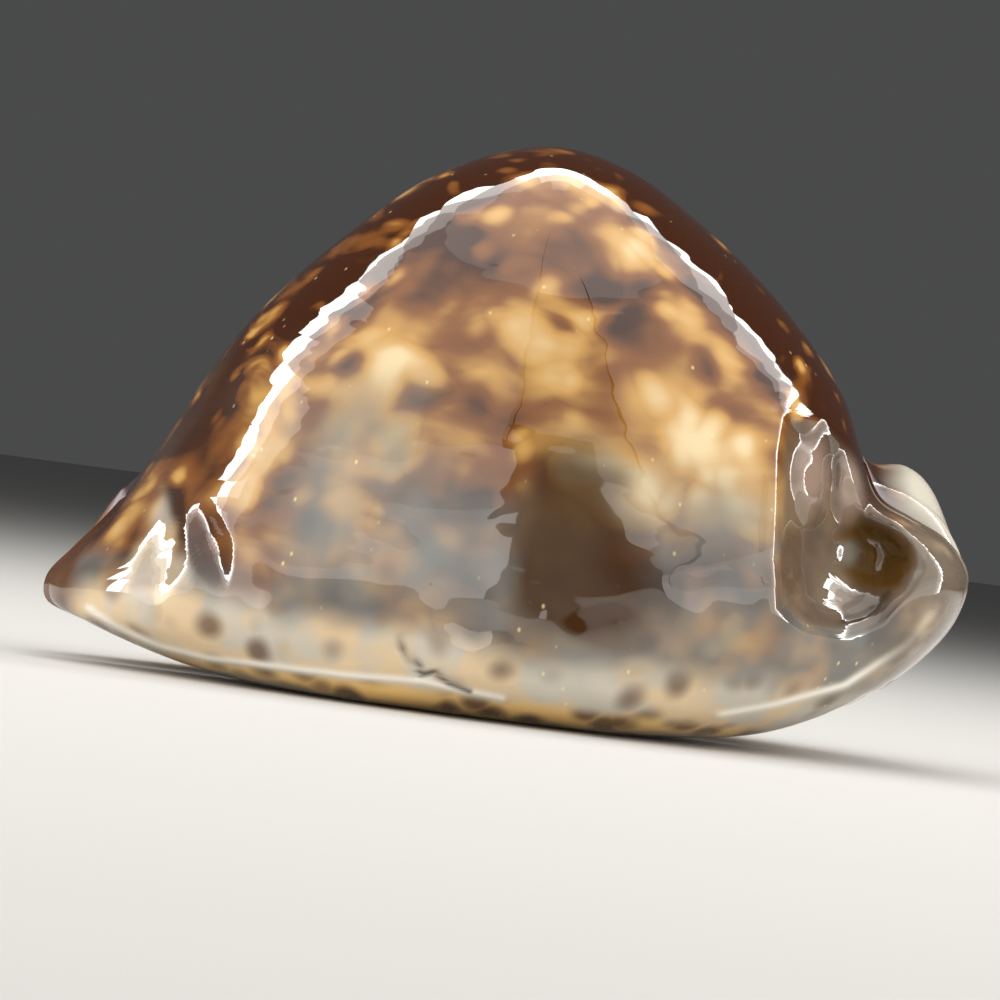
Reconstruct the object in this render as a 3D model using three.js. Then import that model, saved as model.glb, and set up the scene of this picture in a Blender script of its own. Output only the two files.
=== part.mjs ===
// A reticulated cowrie shell: one hollow, humped shell with a narrow toothed mouth along its base.
// Units are millimetres. +X is the rear (spire) end, +Y the outer lip, -Y the spire side, +Z up.
// The origin lies under the middle of the shell, on the surface that it rests on.
import * as THREE from "three";
import { mergeVertices } from "three/addons/utils/BufferGeometryUtils.js";

// Driving dimensions.
const LEFT_WIDTH = 21.6; // from the middle plane to the spire side's margin
const RIGHT_WIDTH = 22.8; // from the middle plane to the outer lip's margin
const WIDEST_PLACE = new THREE.Vector2(1.5, 9.5); // x and height of the shell's two sides
const REAR_BLUNTNESS = 2.3; // seen from above, 2 is an ellipse's end and larger is blunter
const FRONT_BLUNTNESS = 2.1;
const BASE_FLATNESS = 4.4; // 2 is a round base, and larger is flatter
const RESTING_CUT = 0.2; // how much of the base's bulge lies flat on the surface

// The hollow inside.
const WALL_SCALE = 0.88; // the hollow's roof is the back's outline at this scale
const HOLLOW_CENTRE = new THREE.Vector2(-1, 17);
const HOLLOW_HALF_WIDTH = 17.6;
const HOLLOW_HALF_LENGTH = 26.5;
const HOLLOW_MIDDLE = 0; // where along the shell the hollow is widest
const HOLLOW_SQUARENESS = 0.4; // 0 leaves its lower corners round

// The mouth and its two rows of teeth.
const LIP_THICKNESS = 3.6;
const LIP_ROUND = 1.4; // how far each lip's rounded crest stands from the mouth
const LIP_CORE = [-20, 17]; // the lips point at a line between these two x
const LIP_RISE = 0.8; // the lips' crests stay this much above the resting surface
const REAR_GAPE = 1.4; // half the mouth's width at its rear, between the teeth
const FRONT_GAPE = 1.9;
const TOOTH_COUNT = 24;
const TOOTH_HEIGHT = 0.8;
const TOOTH_ROW = [0.22, 0.8]; // the share of the mouth's length that has teeth, from the rear
const CHANNEL_RUN = 0.06; // the share in which each end channel runs out onto the back
const CHANNEL_DEPTH = 0.7; // the share of the way to the lip core that an end channel goes

// How finely the surface is divided.
const BACK_STEPS = 38;
const REAR_CHANNEL_STEPS = 15;
const STEPS_PER_TOOTH = 4;
const FRONT_CHANNEL_STEPS = 10;
const LINES_PER_SIDE = 16;
const CREST_LINE = 7; // the lines from 0 to this one cross the mouth and the hollow

// Two outlines seen from the side, as x and height. Each runs over the back from the head of the
// front channel to the head of the rear channel, then on round the rear tip, base and front tip.
// The lips follow the first, and the shell's sides the second.
const LIP_OUTLINE = closedOutline(
  [
    [-28.8, 12.6],
    [-26.4, 17.4],
    [-21.7, 26.1],
    [-15.3, 33.7],
    [-8.7, 39.4],
    [-1, 42.3],
    [4.8, 41.4],
    [10.8, 38.1],
    [17.5, 32.9],
    [22.8, 26.9],
  ],
  [
    [25, 22],
    [26.5, 19.6],
    [28.8, 18.5],
    [31.8, 17.1],
    [33.6, 14.9],
    [33.2, 11.6],
    [31, 8.2],
    [26.5, 4.2],
    [20.5, 1.4],
    [13, 0.3],
    [4, 0],
    [-8, 0],
    [-16, 0.2],
    [-22, 0.6],
    [-27.4, 1.7],
    [-31.2, 2.9],
    [-33.5, 4],
    [-33.7, 6],
    [-32, 8.4],
    [-30.2, 10.6],
  ],
);
const SIDE_OUTLINE = closedOutline(
  [
    [-29.2, 11.4],
    [-25.4, 19.4],
    [-19, 29.6],
    [-11.4, 37],
    [-1, 42.2],
    [6, 40.6],
    [13.5, 35.4],
    [19.6, 29.2],
    [24, 23.6],
  ],
  [
    [27.6, 18.6],
    [30, 13],
    [28.6, 7],
    [22, 2.2],
    [13, 0.4],
    [2, 0],
    [-8, 0],
    [-18, 0.3],
    [-26, 1.8],
    [-30.4, 5],
    [-30.8, 8.2],
  ],
);

// Forms that one smooth push each gives to the skin: where, how far it reaches, and which way.
// An edge of 1 is a soft swelling, and larger has a flatter middle and a steeper side.
const FORMS = [
  { name: "rear outer lobe", at: [28.8, 8, 19.4], reach: [5, 6, 5], push: [1, 0.4, 5.2], edge: 1 },
  { name: "front outer lobe", at: [-29, 6, 12], reach: [3, 4, 3], push: [-0.6, 0, 1.2], edge: 1 },
  { name: "spire bowl", at: [26, -17, 14.8], reach: [5.6, 9, 8.6], push: [-1, 3.8, 0], edge: 1.5 },
  { name: "spire pit", at: [26.4, -13, 15.2], reach: [3, 5, 2.6], push: [-0.6, 2.8, 0], edge: 1.5 },
];

const { clamp, lerp, smoothstep } = THREE.MathUtils;

// A closed curve through the points, that knows at which share of its length its rear head lies.
function closedOutline(back, under) {
  const points = [...back, ...under].map(([x, z]) => new THREE.Vector3(x, 0, z));
  const curve = new THREE.CatmullRomCurve3(points, true);
  const perPoint = 30;
  curve.arcLengthDivisions = points.length * perPoint;
  const lengths = curve.getLengths();
  const rearHead = lengths[back.length * perPoint] / lengths[lengths.length - 1];
  return {
    onBack: (along) => curve.getPointAt(rearHead * along),
    onUnderside: (along) => curve.getPointAt(rearHead + (1 - rearHead) * along),
  };
}

// Half the mouth's width: it opens towards the front and closes a little in the front channel.
function gapeAt(along) {
  const opened = 1.35 * smoothstep(along, 0.1, 0.75) - 0.8 * smoothstep(along, 0.82, 1);
  return lerp(REAR_GAPE, FRONT_GAPE, opened);
}

// The mouth's middle line bends towards the spire side at the rear.
function mouthMiddle(along) {
  return 0.5 + 2 * Math.sin(Math.PI * along) - 2 * (1 - along) ** 2;
}

// The stations round the outlines: over the back, then along the mouth from rear to front.
function stations() {
  const places = [];
  const spread = (onBack, from, to, steps) => {
    for (let i = 0; i < steps; i++) {
      const along = lerp(from, to, i / steps);
      const way = onBack ? "onBack" : "onUnderside";
      places.push({
        onBack,
        along,
        toothPhase: i / STEPS_PER_TOOTH,
        lipRim: LIP_OUTLINE[way](along),
        sideRim: SIDE_OUTLINE[way](along),
        roofRim: LIP_OUTLINE.onBack(1 - along),
      });
    }
  };
  const [rear, front] = TOOTH_ROW;
  spread(true, 0, 1, BACK_STEPS);
  spread(false, 0, rear, REAR_CHANNEL_STEPS);
  spread(false, rear, front, TOOTH_COUNT * STEPS_PER_TOOTH);
  spread(false, front, 1, FRONT_CHANNEL_STEPS);
  return places;
}

// How much of the full reach a section keeps at this share of the way out to the side.
function reachAt(side, power) {
  return Math.max(0, 1 - Math.abs(side) ** power) ** (1 / power);
}

// A point of the outer skin on this station's section, at a sideways angle.
function skinPoint(station, angle, shift) {
  const side = Math.sin(angle);
  const rim = station.lipRim.clone();
  rim.lerp(station.sideRim, smoothstep(Math.abs(side), 0.4, 0.95));
  const below = (WIDEST_PLACE.y - rim.z) / WIDEST_PLACE.y;
  const upright = reachAt(side, lerp(2, BASE_FLATNESS, smoothstep(below, 0, 0.95)));
  const bluntness = lerp(FRONT_BLUNTNESS, REAR_BLUNTNESS, smoothstep(rim.x, -20, 20));
  const width = side < 0 ? LEFT_WIDTH : RIGHT_WIDTH;
  return new THREE.Vector3(
    lerp(WIDEST_PLACE.x, rim.x, reachAt(side, bluntness)),
    width * side + shift * (1 - side * side),
    lerp(WIDEST_PLACE.y, rim.z, upright),
  );
}

// The sideways angle of a line, evenly spread over the back and drawn together beside the mouth.
function lineAngle(line, crestAngle, mouthShare) {
  const even = ((line / LINES_PER_SIDE) * Math.PI) / 2;
  const beyond = (line - CREST_LINE) / (LINES_PER_SIDE - CREST_LINE);
  const beside =
    line < CREST_LINE
      ? (crestAngle * line) / CREST_LINE
      : lerp(crestAngle, Math.PI / 2, beyond ** 1.15);
  return lerp(even, beside, mouthShare);
}

// How much a station's lines are drawn together: fully along the mouth, fading over the back.
function mouthShareOf(station) {
  if (!station.onBack) return 1;
  return 1 - smoothstep(Math.min(station.along, 1 - station.along), 0, 0.22);
}

// A point of a lip's inner wall or of the hollow behind it.
function innerPoint(station, line, side) {
  const { along, lipRim } = station;
  const fromHead = Math.min(along, 1 - along);
  const open = smoothstep(fromHead, 0, CHANNEL_RUN);
  const gape = gapeAt(along);
  const middle = mouthMiddle(along);
  const core = new THREE.Vector3(clamp(lipRim.x, ...LIP_CORE), 0, WIDEST_PLACE.y);
  const inward = core.clone().sub(lipRim).normalize();
  const lipEnd = lipRim.clone().addScaledVector(inward, LIP_THICKNESS * open);
  const flatY = ((gape + LIP_ROUND) * line) / CREST_LINE;

  // The three lines on a lip's wall: how far from the middle, and how deep in the lip.
  const wall = { 6: [gape + 0.35 * LIP_ROUND, 0.16], 5: [gape, 0.45], 4: [gape + 0.1, 0.85] };
  if (wall[line]) {
    const [offset, depth] = wall[line];
    const point = lipRim.clone().lerp(lipEnd, depth);
    point.y = middle + side * lerp(flatY, offset, open);
    return point;
  }

  // The other lines run round the floor of an end channel, which leads into the hollow.
  const body = smoothstep(fromHead, 0.12, 0.3);
  const channelFloor = lipEnd.clone().addScaledVector(inward, gape * open);
  channelFloor.lerp(core, CHANNEL_DEPTH * smoothstep(fromHead, 0.02, 0.14));
  const roof = new THREE.Vector3(
    lerp(HOLLOW_CENTRE.x, station.roofRim.x, WALL_SCALE),
    0,
    lerp(HOLLOW_CENTRE.y, station.roofRim.z, WALL_SCALE),
  );
  const top = channelFloor.lerp(roof, body);
  const rise = inward.clone().multiplyScalar(gape * open);
  rise.lerp(top.clone().sub(lipEnd).divideScalar(2), body);
  const centre = top.sub(rise);
  const offCentre = (centre.x - HOLLOW_MIDDLE) / HOLLOW_HALF_LENGTH;
  const swell = HOLLOW_HALF_WIDTH * Math.sqrt(Math.max(0, 1 - offCentre ** 2));
  const halfWidth = lerp(gape, Math.max(gape, swell), body);
  const turn = lerp(Math.PI, lerp(Math.PI / 2, 0, body), line / 4);
  const power = turn < Math.PI / 2 ? 1 - HOLLOW_SQUARENESS : 1;
  const lift = -Math.sign(Math.cos(turn)) * Math.abs(Math.cos(turn)) ** power;
  const point = centre.addScaledVector(rise, lift);
  const loopY = lerp(middle, 0, body) + side * Math.sin(turn) ** power * halfWidth;
  point.y = lerp(middle + side * flatY, loopY, open);
  return point;
}

// Adds every form's push at this point.
function applyForms(point) {
  const { x, y, z } = point;
  for (const { at, reach, push, edge } of FORMS) {
    const away =
      ((x - at[0]) / reach[0]) ** 2 + ((y - at[1]) / reach[1]) ** 2 + ((z - at[2]) / reach[2]) ** 2;
    point.addScaledVector(new THREE.Vector3(...push), Math.exp(-(away ** edge)));
  }
}

// How deep the groove between two teeth is on this line of a lip at this station, from 0 to 1.
function grooveShape(station, line) {
  const [rear, front] = TOOTH_ROW;
  if (station.onBack || station.along < rear || station.along >= front) return 0;
  const acrossLip = { 4: 0.35, 5: 0.8, 6: 1, 7: 0.9, 8: 0.25 }[line] ?? 0;
  const fade = smoothstep(Math.min(station.along - rear, front - station.along), -0.01, 0.02);
  return acrossLip * fade * (0.5 + 0.5 * Math.cos(2 * Math.PI * station.toothPhase));
}

// Lifts the lips' crests off the resting surface and cuts the grooves between their teeth.
function shapeLip(point, station, line, side) {
  if (station.onBack) return;
  const nearMouth = { 7: 1, 8: 0.45, 9: 0.1 }[line] ?? (line < CREST_LINE ? 0.6 : 0);
  point.z += LIP_RISE * nearMouth * (1 - smoothstep(station.lipRim.z, 0.5, 7));
  const groove = TOOTH_HEIGHT * grooveShape(station, line);
  const facing = line >= CREST_LINE ? 0.25 : 0.8; // how much a tooth points across the mouth
  point.y += side * groove * facing;
  point.z += groove * (1 - facing);
}

// The place of one vertex: a line from 16 at the outer lip's side to -16 at the spire side.
function place(station, signedLine) {
  const line = Math.abs(signedLine);
  const side = Math.sign(signedLine);
  let point;
  if (!station.onBack && line < CREST_LINE) {
    point = innerPoint(station, line, side);
  } else {
    const mouthShare = mouthShareOf(station);
    const fromRear = station.onBack ? 1 - station.along : station.along;
    const width = side < 0 ? LEFT_WIDTH : RIGHT_WIDTH;
    const crestAngle = Math.asin((gapeAt(fromRear) + LIP_ROUND) / width);
    const angle = side * lineAngle(line, crestAngle, mouthShare);
    point = skinPoint(station, angle, mouthMiddle(fromRear) * mouthShare);
  }
  applyForms(point);
  shapeLip(point, station, line, side);
  point.z = Math.max(point.z, RESTING_CUT) - RESTING_CUT;
  return point;
}

// The shell is a sphere's grid, whose poles are the two sides, with every vertex put in place.
function shellGeometry() {
  const round = stations();
  const grid = new THREE.SphereGeometry(1, round.length, 2 * LINES_PER_SIDE);
  const position = grid.getAttribute("position");
  const perRow = round.length + 1;
  for (let i = 0; i < position.count; i++) {
    const station = round[(i % perRow) % round.length];
    const { x, y, z } = place(station, LINES_PER_SIDE - Math.floor(i / perRow));
    position.setXYZ(i, x, y, z);
  }
  grid.deleteAttribute("normal");
  grid.deleteAttribute("uv");
  const closed = mergeVertices(grid, 1e-4);
  closed.computeBoundingBox();
  const middle = closed.boundingBox.getCenter(new THREE.Vector3());
  closed.translate(-middle.x, -middle.y, 0);
  closed.computeVertexNormals();
  return closed;
}

const shell = new THREE.Mesh(
  shellGeometry(),
  new THREE.MeshStandardMaterial({ color: 0x8a5a2c, roughness: 0.12, metalness: 0 }),
);
shell.name = "shell";

const cowrie = new THREE.Group();
cowrie.add(shell);

export default cowrie;
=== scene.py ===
import math

import bpy
import numpy as np
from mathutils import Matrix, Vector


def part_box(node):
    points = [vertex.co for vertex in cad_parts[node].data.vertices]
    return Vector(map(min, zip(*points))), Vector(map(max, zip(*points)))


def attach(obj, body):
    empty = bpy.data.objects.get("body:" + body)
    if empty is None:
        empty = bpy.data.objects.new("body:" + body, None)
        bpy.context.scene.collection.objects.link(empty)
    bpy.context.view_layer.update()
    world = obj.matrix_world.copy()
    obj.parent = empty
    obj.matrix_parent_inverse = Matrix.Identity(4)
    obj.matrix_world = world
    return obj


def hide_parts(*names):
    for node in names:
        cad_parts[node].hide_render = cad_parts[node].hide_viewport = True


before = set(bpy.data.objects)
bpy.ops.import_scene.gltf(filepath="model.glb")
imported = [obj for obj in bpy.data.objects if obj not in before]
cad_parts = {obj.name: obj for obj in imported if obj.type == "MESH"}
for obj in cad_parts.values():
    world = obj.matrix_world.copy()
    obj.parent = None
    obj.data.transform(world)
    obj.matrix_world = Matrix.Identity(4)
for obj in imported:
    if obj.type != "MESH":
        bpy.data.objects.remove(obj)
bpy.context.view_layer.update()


# The shell's form: one hollow, humped shell that the animal rolled up and then coated. Two lips
# curl in along the base to a narrow toothed mouth, and swell at both ends round its channels.
# It is a grid of stations round the outline and lines across it, closed by a point at each side.
LEFT_WIDTH = 21.6  # millimetres, as every size of the shell is until its last step
RIGHT_WIDTH = 22.8
WIDEST_X = 1.5
WIDEST_HEIGHT = 9.5
REAR_BLUNTNESS = 2.3
FRONT_BLUNTNESS = 2.1
RIGHT_BASE_FLATNESS = 4.4
LEFT_BASE_FLATNESS = 5.6
RESTING_CUT = 0.2

WALL_SCALE = 0.88
HOLLOW_CENTRE = (-1, 17)
HOLLOW_HALF_WIDTH = 17.6
HOLLOW_HALF_LENGTH = 26.5
HOLLOW_SQUARENESS = 0.4

LIP_THICKNESS = 3.6
LIP_ROUND = 1.4
LIP_CORE = (-20, 17)
LIP_RISE = 0.8
REAR_GAPE = 1.4
FRONT_GAPE = 1.9
TOOTH_COUNT = 24
TOOTH_HEIGHT = 0.8
TOOTH_ROW = (0.22, 0.8)
CHANNEL_RUN = 0.06
CHANNEL_DEPTH = 0.7

BACK_STEPS = 168
END_CROWDING = 0.4
REAR_CHANNEL_STEPS = 74
STEPS_PER_TOOTH = 7
FRONT_CHANNEL_STEPS = 44
INNER_LINES = 36
RIGHT_LINES = 40
LEFT_LINES = 92
CREST = 7  # a line's number: 0 is the mouth's middle, 7 a lip's crest and 16 the shell's side
LAST = 16


def smooth(value, low, high):
    share = np.clip((value - low) / (high - low), 0, 1)
    return share * share * (3 - 2 * share)


def mix(start, end, share):
    return start + (end - start) * share


class Outline:
    """A closed curve of x and height, that knows where on it the rear channel's head lies."""

    def __init__(self, back, under):
        points = np.array(back + under, dtype=float)
        before, after, beyond = (np.roll(points, k, axis=0) for k in (1, -1, -2))

        def knot(a, b):
            return np.sqrt(np.linalg.norm(b - a, axis=1))[:, None]

        first, second, third = knot(before, points), knot(points, after), knot(after, beyond)
        leaving = (points - before) / first - (after - before) / (first + second)
        leaving = (leaving + (after - points) / second) * second
        arriving = (after - points) / second - (beyond - points) / (second + third)
        arriving = (arriving + (beyond - after) / third) * second
        t = np.linspace(0, 1, 40, endpoint=False)[None, :, None]
        start, end, leaving, arriving = (a[:, None, :] for a in (points, after, leaving, arriving))
        curve = (
            start * (2 * t**3 - 3 * t**2 + 1)
            + leaving * (t**3 - 2 * t**2 + t)
            + end * (3 * t**2 - 2 * t**3)
            + arriving * (t**3 - t**2)
        ).reshape(-1, 2)
        self.curve = np.vstack([curve, curve[:1]])
        steps = np.linalg.norm(np.diff(self.curve, axis=0), axis=1)
        self.lengths = np.concatenate([[0], np.cumsum(steps)])
        self.rear_head = self.lengths[len(back) * 40]

    def at(self, on_back, along):
        whole = self.lengths[-1]
        length = np.where(
            on_back, self.rear_head * along, mix(self.rear_head, whole, along)
        )
        return [np.interp(length, self.lengths, self.curve[:, k]) for k in (0, 1)]


lip_outline = Outline(
    [(-28.8, 12.6), (-26.4, 17.4), (-21.7, 26.1), (-15.3, 33.7), (-8.7, 39.4), (-1, 42.3),
     (4.8, 41.4), (10.8, 38.1), (17.5, 32.9), (22.8, 26.9)],
    [(25, 22), (26.5, 19.6), (28.8, 18.5), (31.8, 17.1), (33.6, 14.9), (33.2, 11.6), (31, 8.2),
     (26.5, 4.2), (20.5, 1.4), (13, 0.3), (4, 0), (-8, 0), (-16, 0.2), (-22, 0.6),
     (-27.4, 1.7), (-31.2, 2.9), (-33.5, 4), (-33.7, 6), (-32, 8.4), (-30.2, 10.6)],
)
side_outline = Outline(
    [(-29.2, 11.4), (-25.4, 19.4), (-19, 29.6), (-11.4, 37), (-1, 42.2), (6, 40.6),
     (13.5, 35.4), (19.6, 29.2), (24, 23.6)],
    [(27.6, 18.6), (30, 13), (28.6, 7), (22, 2.2), (13, 0.4), (2, 0), (-8, 0), (-18, 0.3),
     (-26, 1.8), (-30.4, 5), (-30.8, 8.2)],
)


def gape_at(along):
    opened = 1.35 * smooth(along, 0.1, 0.75) - 0.8 * smooth(along, 0.82, 1)
    return mix(REAR_GAPE, FRONT_GAPE, opened)


def mouth_middle(along):
    return 0.5 + 2 * np.sin(math.pi * along) - 2 * (1 - along) ** 2


def reach_at(side, power):
    return np.maximum(0, 1 - np.abs(side) ** power) ** (1 / power)


# The grid: one row for each station round the outline, and one column for each line across it.
station_count = (
    BACK_STEPS + REAR_CHANNEL_STEPS + TOOTH_COUNT * STEPS_PER_TOOTH + FRONT_CHANNEL_STEPS
)
back_turns = np.arange(BACK_STEPS) / BACK_STEPS * 2 * math.pi
back_along = (back_turns - END_CROWDING * np.sin(back_turns)) / (2 * math.pi)
mouth_along = np.concatenate([
    np.linspace(0, TOOTH_ROW[0], REAR_CHANNEL_STEPS, endpoint=False),
    np.linspace(*TOOTH_ROW, TOOTH_COUNT * STEPS_PER_TOOTH, endpoint=False),
    np.linspace(TOOTH_ROW[1], 1, FRONT_CHANNEL_STEPS, endpoint=False),
])
along = np.concatenate([back_along, mouth_along])[:, None]
on_back = (np.arange(station_count) < BACK_STEPS)[:, None]
inner_lines = np.linspace(0, CREST, INNER_LINES, endpoint=False)
right_lines = np.linspace(LAST, CREST, RIGHT_LINES, endpoint=False)
left_lines = np.linspace(CREST, LAST, LEFT_LINES + 1)
signed_lines = np.concatenate([
    right_lines, [CREST], inner_lines[::-1], -inner_lines[1:], -left_lines
])[None, :]
line, side = np.abs(signed_lines), np.sign(signed_lines)

lip_x, lip_z = lip_outline.at(on_back, along)
side_x, side_z = side_outline.at(on_back, along)
from_rear = np.where(on_back, 1 - along, along)
gape, middle = gape_at(from_rear), mouth_middle(from_rear)
width = np.where(side < 0, LEFT_WIDTH, RIGHT_WIDTH)

# The outer skin.
from_head = np.minimum(along, 1 - along)
mouth_share = np.where(on_back, 1 - smooth(from_head, 0, 0.22), 1)
crest_angle = np.arcsin((gape + LIP_ROUND) / width)
beyond_crest = np.clip((line - CREST) / (LAST - CREST), 0, 1) ** 1.15
beside = np.where(
    line < CREST, crest_angle * line / CREST, mix(crest_angle, math.pi / 2, beyond_crest)
)
sideways = np.sin(side * mix(line / LAST * math.pi / 2, beside, mouth_share))
out = smooth(np.abs(sideways), 0.4, 0.95)
rim_x, rim_z = mix(lip_x, side_x, out), mix(lip_z, side_z, out)
below = (WIDEST_HEIGHT - rim_z) / WIDEST_HEIGHT
base_flatness = np.where(side < 0, LEFT_BASE_FLATNESS, RIGHT_BASE_FLATNESS)
upright = reach_at(sideways, mix(2, base_flatness, smooth(below, 0, 0.95)))
bluntness = mix(FRONT_BLUNTNESS, REAR_BLUNTNESS, smooth(rim_x, -20, 20))
x = mix(WIDEST_X, rim_x, reach_at(sideways, bluntness))
y = width * sideways + middle * mouth_share * (1 - sideways**2)
z = mix(WIDEST_HEIGHT, rim_z, upright)

# The lips' inner walls, the floors of the end channels, and the hollow that they lead into.
opening = smooth(from_head, 0, CHANNEL_RUN)
body = smooth(from_head, 0.12, 0.3)
core_x = np.clip(lip_x, *LIP_CORE)
inward_x, inward_z = core_x - lip_x, WIDEST_HEIGHT - lip_z
distance = np.hypot(inward_x, inward_z)
inward_x, inward_z = inward_x / distance, inward_z / distance
end_x = lip_x + inward_x * LIP_THICKNESS * opening
end_z = lip_z + inward_z * LIP_THICKNESS * opening
flat_y = (gape + LIP_ROUND) * line / CREST

wall_line = np.clip(line, 4, CREST)
round_turn = (CREST - wall_line) / 2 * math.pi / 2
straight = np.clip(5 - wall_line, 0, 1)
offset = gape + LIP_ROUND * np.where(line >= 5, 1 - np.sin(round_turn), 0) + 0.1 * straight
depth = np.where(line >= 5, 0.45 * (1 - np.cos(round_turn)), 0.45 + 0.4 * straight)
wall_x, wall_z = mix(lip_x, end_x, depth), mix(lip_z, end_z, depth)
wall_y = middle + side * mix(flat_y, offset, opening)

floor_share = CHANNEL_DEPTH * smooth(from_head, 0.02, 0.14)
top_x = mix(end_x + inward_x * gape * opening, core_x, floor_share)
top_z = mix(end_z + inward_z * gape * opening, WIDEST_HEIGHT, floor_share)
roof_rim_x, roof_rim_z = lip_outline.at(True, 1 - along)
top_x = mix(top_x, mix(HOLLOW_CENTRE[0], roof_rim_x, WALL_SCALE), body)
top_z = mix(top_z, mix(HOLLOW_CENTRE[1], roof_rim_z, WALL_SCALE), body)
rise_x = mix(inward_x * gape * opening, (top_x - end_x) / 2, body)
rise_z = mix(inward_z * gape * opening, (top_z - end_z) / 2, body)
centre_x, centre_z = top_x - rise_x, top_z - rise_z
swell = HOLLOW_HALF_WIDTH * np.sqrt(np.maximum(0, 1 - (centre_x / HOLLOW_HALF_LENGTH) ** 2))
half_width = mix(gape, np.maximum(gape, swell), body)
turn = mix(math.pi, mix(math.pi / 2, 0, body), np.clip(line / 4, 0, 1))
power = 1 - HOLLOW_SQUARENESS * (turn < math.pi / 2)
lift = -np.sign(np.cos(turn)) * np.abs(np.cos(turn)) ** power
loop_y = mix(middle, 0, body) + side * np.sin(turn) ** power * half_width
loop_x, loop_z = centre_x + rise_x * lift, centre_z + rise_z * lift
loop_y = mix(middle + side * flat_y, loop_y, opening)

inside = ~on_back & (line < CREST)
on_wall = line >= 4
x = np.where(inside, np.where(on_wall, wall_x, loop_x), x)
y = np.where(inside, np.where(on_wall, wall_y, loop_y), y)
z = np.where(inside, np.where(on_wall, wall_z, loop_z), z)

# The swellings and hollows of the two ends: where, how far each reaches, and its push.
# An edge of 1 is a soft swelling, and larger has a flatter middle and a steeper side.
rear_outer_lobe = ((28.8, 8, 19.4), (5, 6, 5), (1, 0.4, 5.2), 1)
front_outer_lobe = ((-29, 6, 12), (3, 4, 3), (-0.6, 0, 1.2), 1)
spire_bowl = ((26, -17, 14.8), (5.6, 9, 8.6), (-0.6, 2.2, 0), 1.5)
pushes = np.zeros((3,) + x.shape)
for at, reach, push, edge in (rear_outer_lobe, front_outer_lobe, spire_bowl):
    away = sum(((p - c) / r) ** 2 for p, c, r in zip((x, y, z), at, reach))
    pushes += np.array(push)[:, None, None] * np.exp(-(away**edge))
x, y, z = x + pushes[0], y + pushes[1], z + pushes[2]

# The lips' crests lie a little above the resting surface, and grooves part their teeth.
underneath = 1 - smooth(lip_z, 0.5, 7)
near_mouth = np.interp(line, [0, 6.5, 7, 8, 9, 10], [0.6, 0.6, 1, 0.45, 0.1, 0])
z = z + LIP_RISE * near_mouth * underneath * ~on_back
tooth_phase = (along - TOOTH_ROW[0]) / (TOOTH_ROW[1] - TOOTH_ROW[0]) * TOOTH_COUNT
across_lip = np.interp(line, [3, 4, 5, 6, 7, 8, 9], [0, 0.35, 0.8, 1, 0.9, 0.25, 0])
row_end = np.minimum(along - TOOTH_ROW[0], TOOTH_ROW[1] - along)
in_row = ~on_back & (row_end > 0)
between_teeth = (0.5 + 0.5 * np.cos(2 * math.pi * tooth_phase)) * smooth(row_end, -0.01, 0.02)
groove = in_row * across_lip * between_teeth
facing = mix(0.25, 0.8, smooth(line, 7.5, 6.5))
y = y + side * TOOTH_HEIGHT * groove * facing
z = z + TOOTH_HEIGHT * groove * (1 - facing)
z = np.maximum(z, RESTING_CUT) - RESTING_CUT

# The whole grid is moved, so that it fills the CAD box.
lowest, highest = (np.array(corner) * 1000 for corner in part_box("shell"))
x = x - (x.min() + x.max()) / 2 + (lowest[0] + highest[0]) / 2
y = y - (y.min() + y.max()) / 2 + (lowest[1] + highest[1]) / 2


# The spire side's smaller forms, that the photograph shows: how deep a hollow or how high a fold
# is at each vertex, from paths and outlines of x and height as they are seen from VIEW_PLACE.
VIEW_PLACE = (-1.24, -412, 15.7)
BOWL_DEPTH = 2.4
PIT_DEPTH = 2
NUB_HEIGHT = 0.7
HIGH_LOBE_HEIGHT = 1.9
LOW_LOBE_HEIGHT = 1.7
STEP_HEIGHT = 0.35
STEP_WIDTH = 0.9
CRACK_DEPTH = 0.3
CRACK_WIDTH = 0.22
PAINTED_HIGHLIGHT_WIDTH = 0.28
nearness = VIEW_PLACE[1] / (VIEW_PLACE[1] - y)
seen_x = VIEW_PLACE[0] + (x - VIEW_PLACE[0]) * nearness
seen_z = VIEW_PLACE[2] + (z - VIEW_PLACE[2]) * nearness


def from_path(path):
    """The distance of each vertex from a path, in side view."""
    nearest = np.full(x.shape, np.inf)
    for (ax, az), (bx, bz) in zip(path, path[1:]):
        dx, dz, run_x, run_z = seen_x - ax, seen_z - az, bx - ax, bz - az
        share = np.clip((dx * run_x + dz * run_z) / (run_x**2 + run_z**2), 0, 1)
        nearest = np.minimum(nearest, np.hypot(dx - share * run_x, dz - share * run_z))
    return nearest


def ridge(path, half_width):
    """1 on a path, falling off smoothly to both sides of it."""
    return np.exp(-((from_path(path) / half_width) ** 2))


def within(outline):
    """The distance of each vertex from a closed outline, in side view, and less than 0 outside."""
    closed = outline + outline[:1]
    odd = np.zeros(x.shape, dtype=bool)
    for (ax, az), (bx, bz) in zip(closed, closed[1:]):
        crosses = (az > seen_z) != (bz > seen_z)
        level = 1e-12  # keeps a level edge, which is never crossed, from dividing by zero
        odd ^= crosses & (seen_x < ax + (seen_z - az) / (bz - az + level) * (bx - ax))
    return np.where(odd, 1, -1) * from_path(closed)


def oval(at, half_sizes, lean=0):
    """1 in the middle of an oval, 0 from its edge on. The lean is in degrees, clockwise."""
    turned = math.radians(lean)
    dx, dz = seen_x - at[0], seen_z - at[1]
    across = dx * math.cos(turned) - dz * math.sin(turned)
    up = dx * math.sin(turned) + dz * math.cos(turned)
    return smooth(np.hypot(across / half_sizes[0], up / half_sizes[1]), 1, 0.25)


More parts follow.
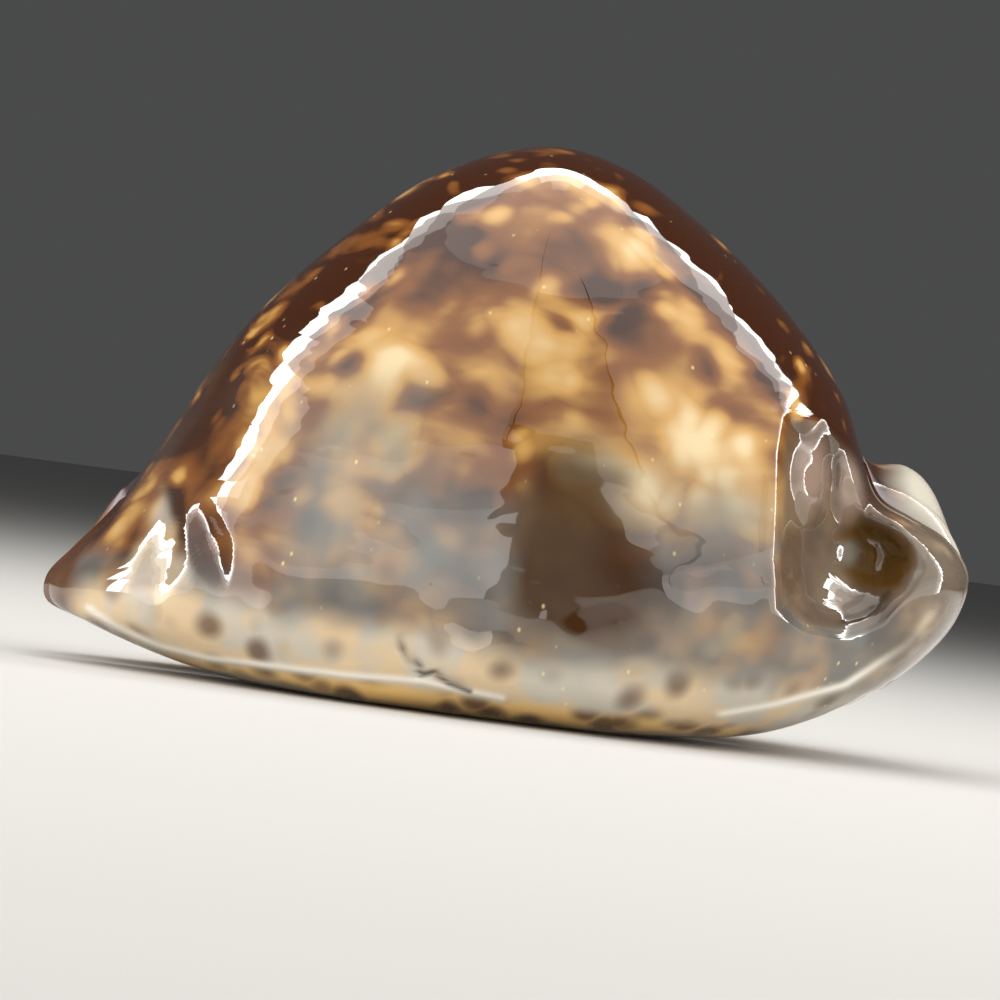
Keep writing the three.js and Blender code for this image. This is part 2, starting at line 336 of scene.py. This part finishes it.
bowl = within([
    (19.0, 24.6), (18.9, 21.8), (19.2, 18.7), (19.7, 14), (20.4, 10.4), (22.6, 9.3), (25.6, 9.1),
    (28, 10.4), (29.3, 12.6), (29.7, 15.6), (28.7, 17.4), (26.6, 18.7), (25.4, 20.6),
    (23.9, 23), (21.6, 24.8),
])
pit = within([
    (24.2, 16.4), (25.5, 17.8), (27.8, 17.7), (29.7, 16.6), (30.1, 14.8), (29.2, 13), (27.4, 12.4),
    (25.9, 12.9), (24.5, 14),
])
nub = oval((25.2, 15.2), (1.5, 1.7), 20)
high_lobe = oval((21.5, 20.4), (1.9, 4.2), -6)
low_lobe = oval((24.3, 19.9), (1.6, 3.3), -12)
step = ridge([
    (18.7, 24.8), (18.5, 21.8), (18.9, 18.7), (19.4, 14), (20.1, 10.1), (22.5, 8.9), (25.8, 8.7),
], STEP_WIDTH)
callus_crack = ridge([(28.2, 12.6), (27.6, 11.4), (26.4, 10.5), (25.2, 10.2)], CRACK_WIDTH)
fold_crack = ridge([
    (-7.2, 4.9), (-6.9, 3.9), (-6.2, 3.1), (-5.6, 2.7), (-5.3, 2.1), (-4.4, 2.4), (-3.2, 1.7),
    (-1.6, 1.3),
], CRACK_WIDTH)
# Painted highlight: thin lines along the base's front and rear edges, where a white line is
# painted in for the light's reflection on the margin.
front_painted_highlight = ridge([
    (-30.4, 3.7), (-28.4, 2.7), (-25, 1.6), (-21.3, 1.2), (-11, 1.3), (-5.2, 1.6), (0.8, 1.1),
], PAINTED_HIGHLIGHT_WIDTH)
rear_painted_highlight = ridge(
    [(17, 2), (21, 3.3), (25.9, 5.4), (30, 8.9), (31.6, 11.6)], PAINTED_HIGHLIGHT_WIDTH
)

# The folds low on the margin: how high each is, its half width and its path.
folds = 0
for highest_fold, half_width, path in (
    (0.1, 1.2, [(-7.9, 10.7), (-6, 7.4), (-3.8, 4.6), (-0.9, 2.1)]),
    (0.12, 1.2, [(4.1, 7.6), (5.6, 4.9), (7.9, 2.5)]),
    (0.22, 1.5, [(11.6, 11), (15, 7.2), (21, 3.5)]),
    (-0.12, 1.4, [(9.4, 8.9), (11.8, 5.8), (15.5, 3)]),
):
    folds = folds + highest_fold * ridge(path, half_width)

# The dents of the front end, with a callus over one: how deep, where, how large and its lean.
front_dents = 0
for deepest, at, half_sizes, lean in (
    (0.7, (-22, 9.4), (1.7, 4.2), -26),
    (0.35, (-25.4, 8.6), (2, 5.4), 12),
    (0.3, (-18.6, 7.6), (1.8, 3), -34),
):
    front_dents = front_dents + deepest * oval(at, half_sizes, lean)
front_callus = smooth(within([(-26.2, 13.4), (-28.6, 5), (-22.6, 6)]), -0.5, 0.5)

facing_spire = smooth(-y, 5, 9)
inwards = (
    BOWL_DEPTH * smooth(bowl, -0.4, 2.2)
    + PIT_DEPTH * smooth(pit, -0.8, 1.8)
    - NUB_HEIGHT * nub * smooth(pit, -0.5, 0.5)
    - HIGH_LOBE_HEIGHT * high_lobe
    - LOW_LOBE_HEIGHT * low_lobe
    - STEP_HEIGHT * step
    + CRACK_DEPTH * callus_crack
    + CRACK_DEPTH * fold_crack
    - folds
    + front_dents
) * facing_spire
y = y + inwards


def by_vertex(grid):
    """A grid's values in the vertices' order: the two side points first, and then each station."""
    inner = grid[:, 1:-1]
    return np.concatenate([grid[:1, 0], grid[:1, -1], inner.reshape(-1, *grid.shape[2:])])


# The faces: four-sided between the lines, and three-sided round the two side points.
line_count = signed_lines.size - 2
vertices = by_vertex(np.stack([x, y, z], axis=2))
row, column = np.mgrid[0:station_count, 0:line_count - 1]
here = 2 + row * line_count + column
across = 2 + (row + 1) % station_count * line_count + column
quads = np.stack([here, here + 1, across + 1, across], axis=2).reshape(-1, 4).tolist()
stations = np.arange(station_count)
first = 2 + stations * line_count
after = 2 + (stations + 1) % station_count * line_count
caps = [(0, int(a), int(b)) for a, b in zip(first, after)]
caps += [(1, int(b), int(a)) for a, b in zip(first + line_count - 1, after + line_count - 1)]
mesh = bpy.data.meshes.new("cowrie_shell")
mesh.from_pydata((vertices / 1000).tolist(), [], quads + caps)
mesh.update()
shell = bpy.data.objects.new("cowrie_shell", mesh)
bpy.context.scene.collection.objects.link(shell)
bpy.ops.object.select_all(action="DESELECT")
shell.select_set(True)
bpy.context.view_layer.objects.active = shell
bpy.ops.object.shade_smooth()

# What the enamel needs to know of the form, kept with each vertex.
marks = {
    "hollow": inside * smooth(line, 6.6, 5.2),
    "groove": groove,
    "mouth": ~on_back * smooth(line, 10.5, 7.5) * underneath,
    "bowl": smooth(bowl, -0.2, 0.8) * facing_spire,
    "pit": smooth(pit, -0.2, 0.6) * (1 - nub) * facing_spire,
    "nub": nub * facing_spire,
    "lobes": np.maximum(high_lobe, low_lobe) * facing_spire,
    "crack": np.maximum(callus_crack, fold_crack) * facing_spire,
    # The lines of painted highlight along the base's edges.
    "edge": np.maximum(front_painted_highlight, rear_painted_highlight) * smooth(-y, 0, 3),
    "callus": front_callus * facing_spire,
}
for name, values in marks.items():
    kept = by_vertex(np.broadcast_to(values, x.shape))
    attribute = mesh.attributes.new(name, "FLOAT", "POINT")
    attribute.data.foreach_set("value", kept.astype(np.float32))

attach(shell, "root")
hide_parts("shell")


# The enamel: layers of clear, glassy lime over a dark red-brown net with amber and cream between.
# Towards the base thicker coats cover the net, blue-grey at first, and then cream with soft spots.
class Wire:
    """A socket of the enamel, so that sums of sockets and numbers are written as plain sums."""

    def __init__(self, socket):
        self.socket = socket

    def combined(self, operation, first, second):
        either = [w.socket.type for w in (first, second) if isinstance(w, Wire)]
        if "VECTOR" in either or "RGBA" in either:
            first, second = (
                w if isinstance(w, (Wire, tuple)) else (w, w, w) for w in (first, second)
            )
            return node("ShaderNodeVectorMath", {"operation": operation}, {0: first, 1: second})
        return node("ShaderNodeMath", {"operation": operation}, {0: first, 1: second})

    def __add__(self, other):
        return self.combined("ADD", self, other)

    def __radd__(self, other):
        return self.combined("ADD", other, self)

    def __sub__(self, other):
        return self.combined("SUBTRACT", self, other)

    def __rsub__(self, other):
        return self.combined("SUBTRACT", other, self)

    def __mul__(self, other):
        return self.combined("MULTIPLY", self, other)

    def __rmul__(self, other):
        return self.combined("MULTIPLY", other, self)


enamel = bpy.data.materials.new("shell_enamel")
enamel.use_nodes = True
principled = enamel.node_tree.nodes["Principled BSDF"]


def node(kind, settings, inputs, output=0):
    made = enamel.node_tree.nodes.new(kind)
    for name, value in settings.items():
        setattr(made, name, value)
    for name, value in inputs.items():
        if isinstance(value, Wire):
            enamel.node_tree.links.new(value.socket, made.inputs[name])
        else:
            made.inputs[name].default_value = value
    return Wire(made.outputs[output])


def ramp(value, low, high):
    return node(
        "ShaderNodeMapRange", {"interpolation_type": "SMOOTHSTEP"},
        {"Value": value, "From Min": low, "From Max": high},
    )


def blend(base, top, share):
    """A Mix node of two colours, which are its inputs 6 and 7, and its output 2."""
    base, top = (c if isinstance(c, Wire) else (*c, 1) for c in (base, top))
    return node("ShaderNodeMix", {"data_type": "RGBA"}, {0: share, 6: base, 7: top}, output=2)


def noise(place, size, detail=2, output="Fac"):
    return node(
        "ShaderNodeTexNoise", {}, {"Vector": place, "Scale": 1 / size, "Detail": detail}, output
    )


def mark(name):
    return node("ShaderNodeAttribute", {"attribute_name": name}, {}, output="Fac")


def spots(place, cell, radius, softness):
    """1 in the middle of each round spot and 0 between them."""
    cells = node(
        "ShaderNodeTexVoronoi", {}, {"Vector": place, "Scale": 1 / cell}, "Distance",
    )
    return ramp(cells, radius + softness, radius - softness)


# The place is in millimetres. An offset that is added to it keeps textures from repeating.
place = node("ShaderNodeTexCoord", {}, {}, "Object") * 1000
height = node("ShaderNodeSeparateXYZ", {}, {0: place}, "Z")
forward = node("ShaderNodeSeparateXYZ", {}, {0: place}, "X")
sideward = node("ShaderNodeSeparateXYZ", {}, {0: place}, "Y")
wander = noise(place, 7, 1, "Color") - 0.5
shifted = place + wander * 5
uneven = noise(place, 9)
uneven_height = height + (noise(place + (31, 7, 2), 8) - 0.5) * 12

# The back's net, with large spots, small ones among them and streaks of amber. It is darkest on
# the crown and on the slopes to the two ends.
large_spots = spots(shifted * (0.85, 1, 1.15), 5.4, 0.4, 0.34)
small_spots = spots(shifted + (11, 3, 5), 3, 0.3, 0.26)
streaks = noise(shifted * (0.55, 0.55, 1.5), 3, 2)
slope_height = height + node("ShaderNodeMath", {"operation": "ABSOLUTE"}, {0: forward - 1}) * 1.05
slope_share = ramp(slope_height + (uneven - 0.5) * 8, 40.5, 45) * ramp(height, 9, 17)
crown_share = ramp(height + sideward * 0.35 + (uneven - 0.5) * 6, 35.5, 39.5)
darkness = node("ShaderNodeMath", {"operation": "MAXIMUM"}, {0: slope_share, 1: crown_share})
brown_dots = spots(shifted + (2, 17, 9), 6.5, 0.2, 0.18) * (1 - darkness)
paleness = (
    large_spots * 0.45 + small_spots * (0.25 + darkness * 0.3) - brown_dots * 0.6
    + (streaks - 0.5) * (0.35 + darkness) + (uneven - 0.5) * 1.6
    + 0.36 - darkness * 0.63 - ramp(height, 20, 12) * 0.3 - ramp(height, 25, 36) * 0.16
)
DARK_BROWN = (0.045, 0.012, 0.003)
RED_BROWN = (0.2, 0.068, 0.013)
AMBER = (0.55, 0.3, 0.075)
CREAM = (0.78, 0.61, 0.35)
back_colour = blend(DARK_BROWN, RED_BROWN, ramp(paleness, -0.05, 0.3))
back_colour = blend(back_colour, AMBER, ramp(paleness, 0.25, 0.6))
back_colour = blend(back_colour, CREAM, ramp(paleness, 0.5, 1.1))

# The flank's grey coat, thicker in some places than in others.
BLUE_GREY = (0.17, 0.19, 0.18)
WARM_GREY = (0.42, 0.3, 0.18)
DEEP_BROWN = (0.055, 0.02, 0.004)
coat_colour = blend(BLUE_GREY, WARM_GREY, ramp(noise(place + (3, 19, 8), 6, 2), 0.5, 0.72))
coat_edge = uneven_height - ramp(forward, 0, -10) * 5
coat = ramp(coat_edge, 22, 12) * (0.25 + ramp(uneven, 0.35, 0.6) * 0.55)
coat = coat * (1 - ramp(forward, -13, -18) * ramp(height, 7, 9.5) * 0.8)
flank_colour = blend(back_colour, coat_colour, coat)


def patch(at, half_sizes):
    """1 in the middle of an uneven oval patch and 0 outside it."""
    away = (place - at) * tuple(1 / size for size in half_sizes) + wander * 1.2
    away = node("ShaderNodeVectorMath", {"operation": "LENGTH"}, {0: away}, "Value")
    return ramp(away, 1.15, 0.55)


patches = patch((4.5, -21, 12.6), (5, 10, 8)) * 0.85 + patch((7.6, -21, 7.6), (3.2, 10, 2)) * 0.5

# The margin's cream, with round brown spots that lie deep under it.
TAN = (0.8, 0.6, 0.36)
GREY_CREAM = (0.64, 0.59, 0.49)
SPOT_BROWN = (0.1, 0.032, 0.008)
cloud = noise(place, 4)
margin_colour = blend(TAN, GREY_CREAM, ramp(cloud, 0.4, 0.62))
margin_spots = spots(place + wander * 2, 3.4, 0.3, 0.2) * ramp(uneven, 0.2, 0.35)
margin = ramp(height + (uneven - 0.5) * 7, 7, 4)
margin_colour = blend(margin_colour, SPOT_BROWN, margin_spots * 0.85)
margin = node("ShaderNodeMath", {"operation": "MAXIMUM"}, {0: margin, 1: mark("callus") * 0.6})
side_colour = blend(flank_colour, margin_colour, margin * 0.85)
side_colour = blend(side_colour, DEEP_BROWN, patches)
FLECK = (0.9, 0.72, 0.36)
flecks = spots(place * (1, 1, 0.7) + (7, 1, 13), 1.7, 0.06, 0.05) * ramp(uneven, 0.42, 0.55)
side_colour = blend(side_colour, FLECK, flecks * 0.7)

# The base, its brown edge spots, the blotch beside the mouth, the teeth and the hollow.
BASE_TAN = (0.52, 0.42, 0.3)
EDGE_CREAM = (0.95, 0.62, 0.22)
PAINTED_HIGHLIGHT_WHITE = (0.93, 0.88, 0.78)
TOOTH_BROWN = (0.2, 0.07, 0.03)
HOLLOW_LILAC = (0.4, 0.35, 0.38)
edge_spots = spots(place * (1, 0.7, 0.4), 2.8, 0.4, 0.2) * ramp(uneven, 0.3, 0.42)
edge_colour = blend(EDGE_CREAM, SPOT_BROWN, edge_spots * 0.9)
side_colour = blend(side_colour, edge_colour, ramp(height, 2.2, 1.2))
base_share = ramp(sideward * sideward, 330, 190) * ramp(height, 1.4, 0.3)
base_colour = blend(BASE_TAN, RED_BROWN, patch((1, -8.5, 0), (12, 4.6, 20)) * 0.55)
colour = blend(side_colour, base_colour, base_share)
# Painted highlight: a thin white line painted along the base's edges, standing in for the light's
# reflection there.
colour = blend(colour, PAINTED_HIGHLIGHT_WHITE, mark("edge"))
teeth = mark("mouth") * (1 - mark("groove"))
colour = blend(colour, TOOTH_BROWN, teeth * ramp(height, 3, 0.6) * 0.55)
colour = blend(colour, HOLLOW_LILAC, mark("hollow"))

# The ends: the grey-brown bowl with its pit, the pale rear lobes and the brown front tip.
BOWL_BROWN = (0.12, 0.08, 0.052)
PIT_BROWN = (0.11, 0.05, 0.005)
NUB_GREY = (0.17, 0.15, 0.12)
LOBE_PINK = (0.34, 0.24, 0.19)
FLANGE_GREY = (0.17, 0.125, 0.085)
LOBE_WHITE = (0.72, 0.67, 0.56)
TIP_BROWN = (0.1, 0.035, 0.012)
CRACK_BROWN = (0.03, 0.018, 0.008)
flange = ramp(forward + (uneven - 0.5) * 4, 26, 29.5) * ramp(height, 3, 6)
flange_colour = blend(FLANGE_GREY, TAN, ramp(cloud, 0.5, 0.75) * 0.5)
flange_colour = blend(flange_colour, LOBE_WHITE, ramp(sideward, -2, 2))
colour = blend(colour, flange_colour, flange * 0.85)
bowl_colour = blend(BOWL_BROWN, FLANGE_GREY, ramp(cloud, 0.45, 0.7))
colour = blend(colour, bowl_colour, mark("bowl") * 0.85)
colour = blend(colour, LOBE_PINK, mark("lobes") * 0.7)
colour = blend(colour, NUB_GREY, mark("nub"))
colour = blend(colour, PIT_BROWN, mark("pit") * 0.92)
colour = blend(colour, TIP_BROWN, ramp(forward + (uneven - 0.5) * 3, -30, -32) * 0.9)
colour = blend(colour, CRACK_BROWN, mark("crack") * 0.85)

# Faint waves of the surface, that bend the reflections, and its gloss, duller near the mouth.
BUMP_DISTANCE = 0.001
CLEAN_ROUGHNESS = 0.02
WORN_ROUGHNESS = 0.05
MOUTH_ROUGHNESS = 0.1
ENAMEL_IOR = 1.7
waves = noise(place, 12, 0) * 0.36 + noise(place * (0.6, 0.6, 1.4), 3.2, 1) * 0.1
# The painted highlight's line is also raised a little.
relief = waves + mark("edge") * 0.1
bump = node("ShaderNodeBump", {}, {"Distance": BUMP_DISTANCE, "Height": relief})
roughness = (
    CLEAN_ROUGHNESS + ramp(uneven, 0.5, 0.8) * WORN_ROUGHNESS + mark("mouth") * MOUTH_ROUGHNESS
)

enamel.node_tree.links.new(colour.socket, principled.inputs["Base Color"])
enamel.node_tree.links.new(bump.socket, principled.inputs["Normal"])
enamel.node_tree.links.new(roughness.socket, principled.inputs["Roughness"])
principled.inputs["IOR"].default_value = ENAMEL_IOR
shell.data.materials.append(enamel)


# The floor: one seamless sheet of pale paper.
FLOOR_SIZE = 8  # metres, as every size is from here on
PAPER = (0.56, 0.55, 0.53, 1)
PAPER_ROUGHNESS = 0.9
bpy.ops.object.select_all(action="DESELECT")
bpy.ops.mesh.primitive_plane_add(size=FLOOR_SIZE, location=(0, 0, 0))
floor = bpy.context.object
floor.name = "floor"
paper = bpy.data.materials.new("pale_paper")
paper.use_nodes = True
paper_surface = paper.node_tree.nodes["Principled BSDF"]
paper_surface.inputs["Base Color"].default_value = PAPER
paper_surface.inputs["Roughness"].default_value = PAPER_ROUGHNESS
floor.data.materials.append(paper)


# The light: a white tent that stands round the camera's side of the shell and over it. It leaves
# an opening for the camera, is dimmer between its two seams, and its far edge is brighter.
TENT_RADIUS = 0.45
TENT_SEGMENTS = 72
TENT_WHITE = (1, 0.985, 0.96, 1)
SHEETS = {  # how brightly each sheet glows
    "tent_gap": 0,
    "tent_edge": 13,
    "tent_near_edge": 4.6,
    "tent_towards_edge": 2.6,
    "tent_low": 2.1,
    "tent_low_middle": 1.625,
    "tent_top": 1.7,
    "tent_between_seams": 0.75,
    "tent_middle": 1.15,
}
EDGE_REACH = 5  # degrees, as every direction in the tent is
NEAR_EDGE_REACH = 5
TOWARDS_EDGE_REACH = 11
LOW_TOP = 16
LOW_MIDDLE_TOP = 24
MIDDLE_TOP = 62
OPENING_LEFT = -4
OPENING_SLANT = 0.35
OPENING_RIGHT = 18
OPENING_TOP = 30
LEFT_SEAM = -13
RIGHT_SEAM = 30
TAPE_RADIUS = TENT_RADIUS * 0.97
TAPE_HALF_WIDTH = 0.35
TAPE_STEPS = 24


def sheet_at(bearing, rise, behind):
    """The name of the sheet in a direction. Behind is how far it lies behind the shell."""
    back_edge = -10 + 42 * max(0, math.sin(math.radians(rise))) ** 2
    opening_left = OPENING_LEFT - rise * OPENING_SLANT
    if rise < 0 or behind > back_edge + EDGE_REACH:
        return "tent_gap"
    if opening_left < bearing < OPENING_RIGHT and rise < OPENING_TOP:
        return "tent_gap"
    if behind > back_edge:
        return "tent_edge"
    if behind > back_edge - NEAR_EDGE_REACH:
        return "tent_near_edge"
    if behind > back_edge - TOWARDS_EDGE_REACH:
        return "tent_towards_edge"
    if rise < LOW_TOP:
        return "tent_low"
    if rise < LOW_MIDDLE_TOP:
        return "tent_low_middle"
    if rise > MIDDLE_TOP:
        return "tent_top"
    if LEFT_SEAM < bearing < RIGHT_SEAM:
        return "tent_between_seams"
    return "tent_middle"


bpy.ops.object.select_all(action="DESELECT")
bpy.ops.mesh.primitive_uv_sphere_add(
    segments=TENT_SEGMENTS, ring_count=TENT_SEGMENTS // 2, radius=TENT_RADIUS, location=(0, 0, 0)
)
tent = bpy.context.object
tent.name = "light_tent"
for name, strength in SHEETS.items():
    sheet = bpy.data.materials.new(name)
    sheet.use_nodes = True
    nodes = sheet.node_tree.nodes
    glow = nodes.new("ShaderNodeEmission")
    glow.inputs["Color"].default_value = TENT_WHITE
    glow.inputs["Strength"].default_value = strength
    sheet.node_tree.links.new(glow.outputs[0], nodes["Material Output"].inputs["Surface"])
    tent.data.materials.append(sheet)
for face in tent.data.polygons:
    towards = np.array(face.center) / TENT_RADIUS
    bearing = math.degrees(math.atan2(towards[0], -towards[1]))
    rise = math.degrees(math.asin(max(-1, min(1, towards[2]))))
    behind = math.degrees(math.atan2(towards[1], math.hypot(towards[0], towards[2])))
    face.material_index = list(SHEETS).index(sheet_at(bearing, rise, behind))
bpy.ops.object.mode_set(mode="EDIT")
bpy.ops.mesh.select_all(action="DESELECT")
tent.active_material_index = list(SHEETS).index("tent_gap")
bpy.ops.object.material_slot_select()
bpy.ops.mesh.delete(type="FACE")
bpy.ops.object.mode_set(mode="OBJECT")
tent.visible_camera = False

# A dark tape hangs over each seam, and shows as a thin line in the enamel.
for bearing, lowest_rise, highest_rise in ((LEFT_SEAM, 28, 84), (RIGHT_SEAM, 12, 66)):
    rises = np.radians(np.linspace(lowest_rise, highest_rise, TAPE_STEPS))
    corners = []
    for turned in np.radians([bearing - TAPE_HALF_WIDTH, bearing + TAPE_HALF_WIDTH]):
        out = TAPE_RADIUS * np.cos(rises)
        up = TAPE_RADIUS * np.sin(rises)
        corners += np.stack([out * np.sin(turned), -out * np.cos(turned), up], axis=1).tolist()
    strips = [(k, k + 1, k + 1 + TAPE_STEPS, k + TAPE_STEPS) for k in range(TAPE_STEPS - 1)]
    tape = bpy.data.meshes.new("seam")
    tape.from_pydata(corners, [], strips)
    tape.materials.append(bpy.data.materials["tent_gap"])
    hung = bpy.data.objects.new("seam", tape)
    bpy.context.scene.collection.objects.link(hung)
    hung.visible_camera = False


# The room round the tent: nearly dark.
ROOM_COLOUR = (0.97, 0.98, 1, 1)
ROOM_LIGHT = 0.07
world = bpy.data.worlds.new("studio")
world.use_nodes = True
world.node_tree.nodes["Background"].inputs["Color"].default_value = ROOM_COLOUR
world.node_tree.nodes["Background"].inputs["Strength"].default_value = ROOM_LIGHT
bpy.context.scene.world = world


# The camera looks level at the spire side, and leans as far as the shell does in the picture.
CAMERA_LEAN = -7.5  # degrees
CAMERA_LENS = 200  # millimetres
NEAREST_SEEN = 0.01
camera_data = bpy.data.cameras.new("camera")
camera_data.lens = CAMERA_LENS
camera_data.clip_start = NEAREST_SEEN
camera = bpy.data.objects.new("camera", camera_data)
bpy.context.scene.collection.objects.link(camera)
camera.location = [size / 1000 for size in VIEW_PLACE]
camera.rotation_euler = (math.radians(90), math.radians(CAMERA_LEAN), 0)
bpy.context.scene.camera = camera
bpy.context.scene.view_settings.view_transform = "Standard"
